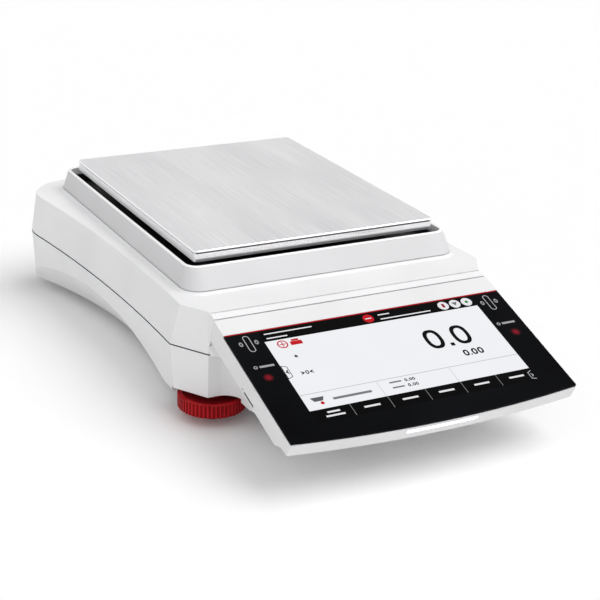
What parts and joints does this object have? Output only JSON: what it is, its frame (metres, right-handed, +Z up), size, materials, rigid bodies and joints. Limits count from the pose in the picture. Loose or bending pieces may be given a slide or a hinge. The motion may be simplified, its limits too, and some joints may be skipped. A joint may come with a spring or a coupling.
{
  "type": "precision balance",
  "caption": "Top-loading precision balance with a brushed steel weighing pan in a raised frame, a tilted touch terminal, a waisted housing and red levelling wheels.",
  "frame": {"origin": "on the table under the middle of the balance's bounding box", "axes": "+Z up, +Y from the terminal towards the rear wall, +X to the right for a user facing the terminal"},
  "size_m": [0.2436, 0.3966, 0.097],
  "materials": {
    "housing_coat": "satin light grey powder coat on die-cast metal",
    "terminal_white": "satin white moulded plastic",
    "black_plastic": "fine grained black moulding",
    "pan_steel": "stainless sheet brushed along its depth",
    "plain_steel": "bright turned steel and zinc plated screws",
    "cell_alloy": "milled aluminium",
    "wheel_red": "moulded red plastic, ridged rim",
    "foot_rubber": "black rubber",
    "bush_brass": "turned brass",
    "magnet_iron": "nickel plated iron",
    "coil_copper": "enamelled copper wire",
    "board_green": "glass fibre board with solder resist",
    "cover_glass": "black backed touch glass",
    "screen": "lit liquid crystal screen",
    "light_clear": "clear light guide",
    "cable_grey": "flat ribbon cable"
  },
  "bodies": {
    "housing": {"base_housing": "housing_coat", "top_housing": "housing_coat", "pan_frame": "terminal_white", "weigh_well": "black_plastic", "foot_bushes": "bush_brass", "rear_feet": "foot_rubber", "cell_frame": "cell_alloy", "cell_screws": "plain_steel", "guide_screws": "plain_steel", "fulcrum_pin": "plain_steel", "magnet_pot": "magnet_iron", "magnet_core": "magnet_iron", "position_sensor": "black_plastic", "main_board": "board_green", "board_screws": "plain_steel", "dc_jack": "black_plastic", "serial_port": "plain_steel", "serial_jacks": "plain_steel", "usb_host_port": "plain_steel", "usb_device_port": "plain_steel", "ribbon_cable": "cable_grey", "terminal_shell": "terminal_white", "panel_frame": "black_plastic", "frame_screws": "plain_steel", "cover_glass": "cover_glass", "display_panel": "screen", "terminal_board": "board_green", "light_bar": "light_clear", "ir_sensors": "black_plastic", "card_slot": "plain_steel", "terminal_screws": "plain_steel", "housing_screws": "plain_steel", "well_screws": "plain_steel", "cover_screw": "plain_steel"},
    "left_foot": {"left_pad": "foot_rubber"},
    "right_foot": {"right_pad": "foot_rubber"},
    "left_wheel_body": {"left_wheel": "wheel_red", "left_stud": "plain_steel"},
    "right_wheel_body": {"right_wheel": "wheel_red", "right_stud": "plain_steel"},
    "load": {"load_receiver": "cell_alloy", "load_post": "plain_steel", "pan_support": "cell_alloy", "support_pads": "foot_rubber"},
    "pan_body": {"pan": "pan_steel"},
    "upper_guide_body": {"upper_guide": "cell_alloy"},
    "lower_guide_body": {"lower_guide": "cell_alloy"},
    "lever_body": {"lever": "cell_alloy", "coil": "coil_copper"},
    "hook_cover": {"weigh_below_cover": "housing_coat"}
  },
  "joints": [
    {"name": "load_travel", "type": "slide", "parent": "housing", "child": "load", "axis": [0, 0, 1], "range_m": [-0.0004, 0], "stiffness_N_per_m": 30000, "springref_m": 0.001},
    {"name": "pan_lift", "type": "slide", "parent": "load", "child": "pan_body", "axis": [0, 0, 1], "range_m": [0, 0.05]},
    {"name": "upper_guide_flex", "type": "hinge", "parent": "housing", "child": "upper_guide_body", "pos_m": [0, 0.124, 0.06155], "axis": [1, 0, 0], "range_deg": [0, 0.4]},
    {"name": "lower_guide_flex", "type": "hinge", "parent": "housing", "child": "lower_guide_body", "pos_m": [0, 0.124, 0.02155], "axis": [1, 0, 0], "range_deg": [0, 0.4]},
    {"name": "lever_turn", "type": "hinge", "parent": "housing", "child": "lever_body", "pos_m": [0, 0.089, 0.0405], "axis": [1, 0, 0], "range_deg": [0, 1.3]},
    {"name": "left_foot_height", "type": "slide", "parent": "housing", "child": "left_foot", "axis": [0, 0, 1], "range_m": [-0.005, 0.0025]},
    {"name": "left_wheel_turn", "type": "hinge", "parent": "left_foot", "child": "left_wheel_body", "pos_m": [-0.086, -0.0705, 0.011], "axis": [0, 0, 1], "range_deg": [-1440, 720]},
    {"name": "right_foot_height", "type": "slide", "parent": "housing", "child": "right_foot", "axis": [0, 0, 1], "range_m": [-0.005, 0.0025]},
    {"name": "right_wheel_turn", "type": "hinge", "parent": "right_foot", "child": "right_wheel_body", "pos_m": [0.086, -0.0705, 0.011], "axis": [0, 0, 1], "range_deg": [-1440, 720]},
    {"name": "cover_turn", "type": "hinge", "parent": "housing", "child": "hook_cover", "pos_m": [0.024, 0.063, 0.0058], "axis": [0, 0, 1], "range_deg": [0, 90]}
  ],
  "couplings": [
    {"joint": "upper_guide_flex", "follows": "load_travel", "rad_per_m": -16.393},
    {"joint": "lower_guide_flex", "follows": "load_travel", "rad_per_m": -16.393},
    {"joint": "lever_turn", "follows": "load_travel", "rad_per_m": -55.556},
    {"joint": "left_wheel_turn", "follows": "left_foot_height", "rad_per_m": 5026.5},
    {"joint": "right_wheel_turn", "follows": "right_foot_height", "rad_per_m": 5026.5}
  ]
}
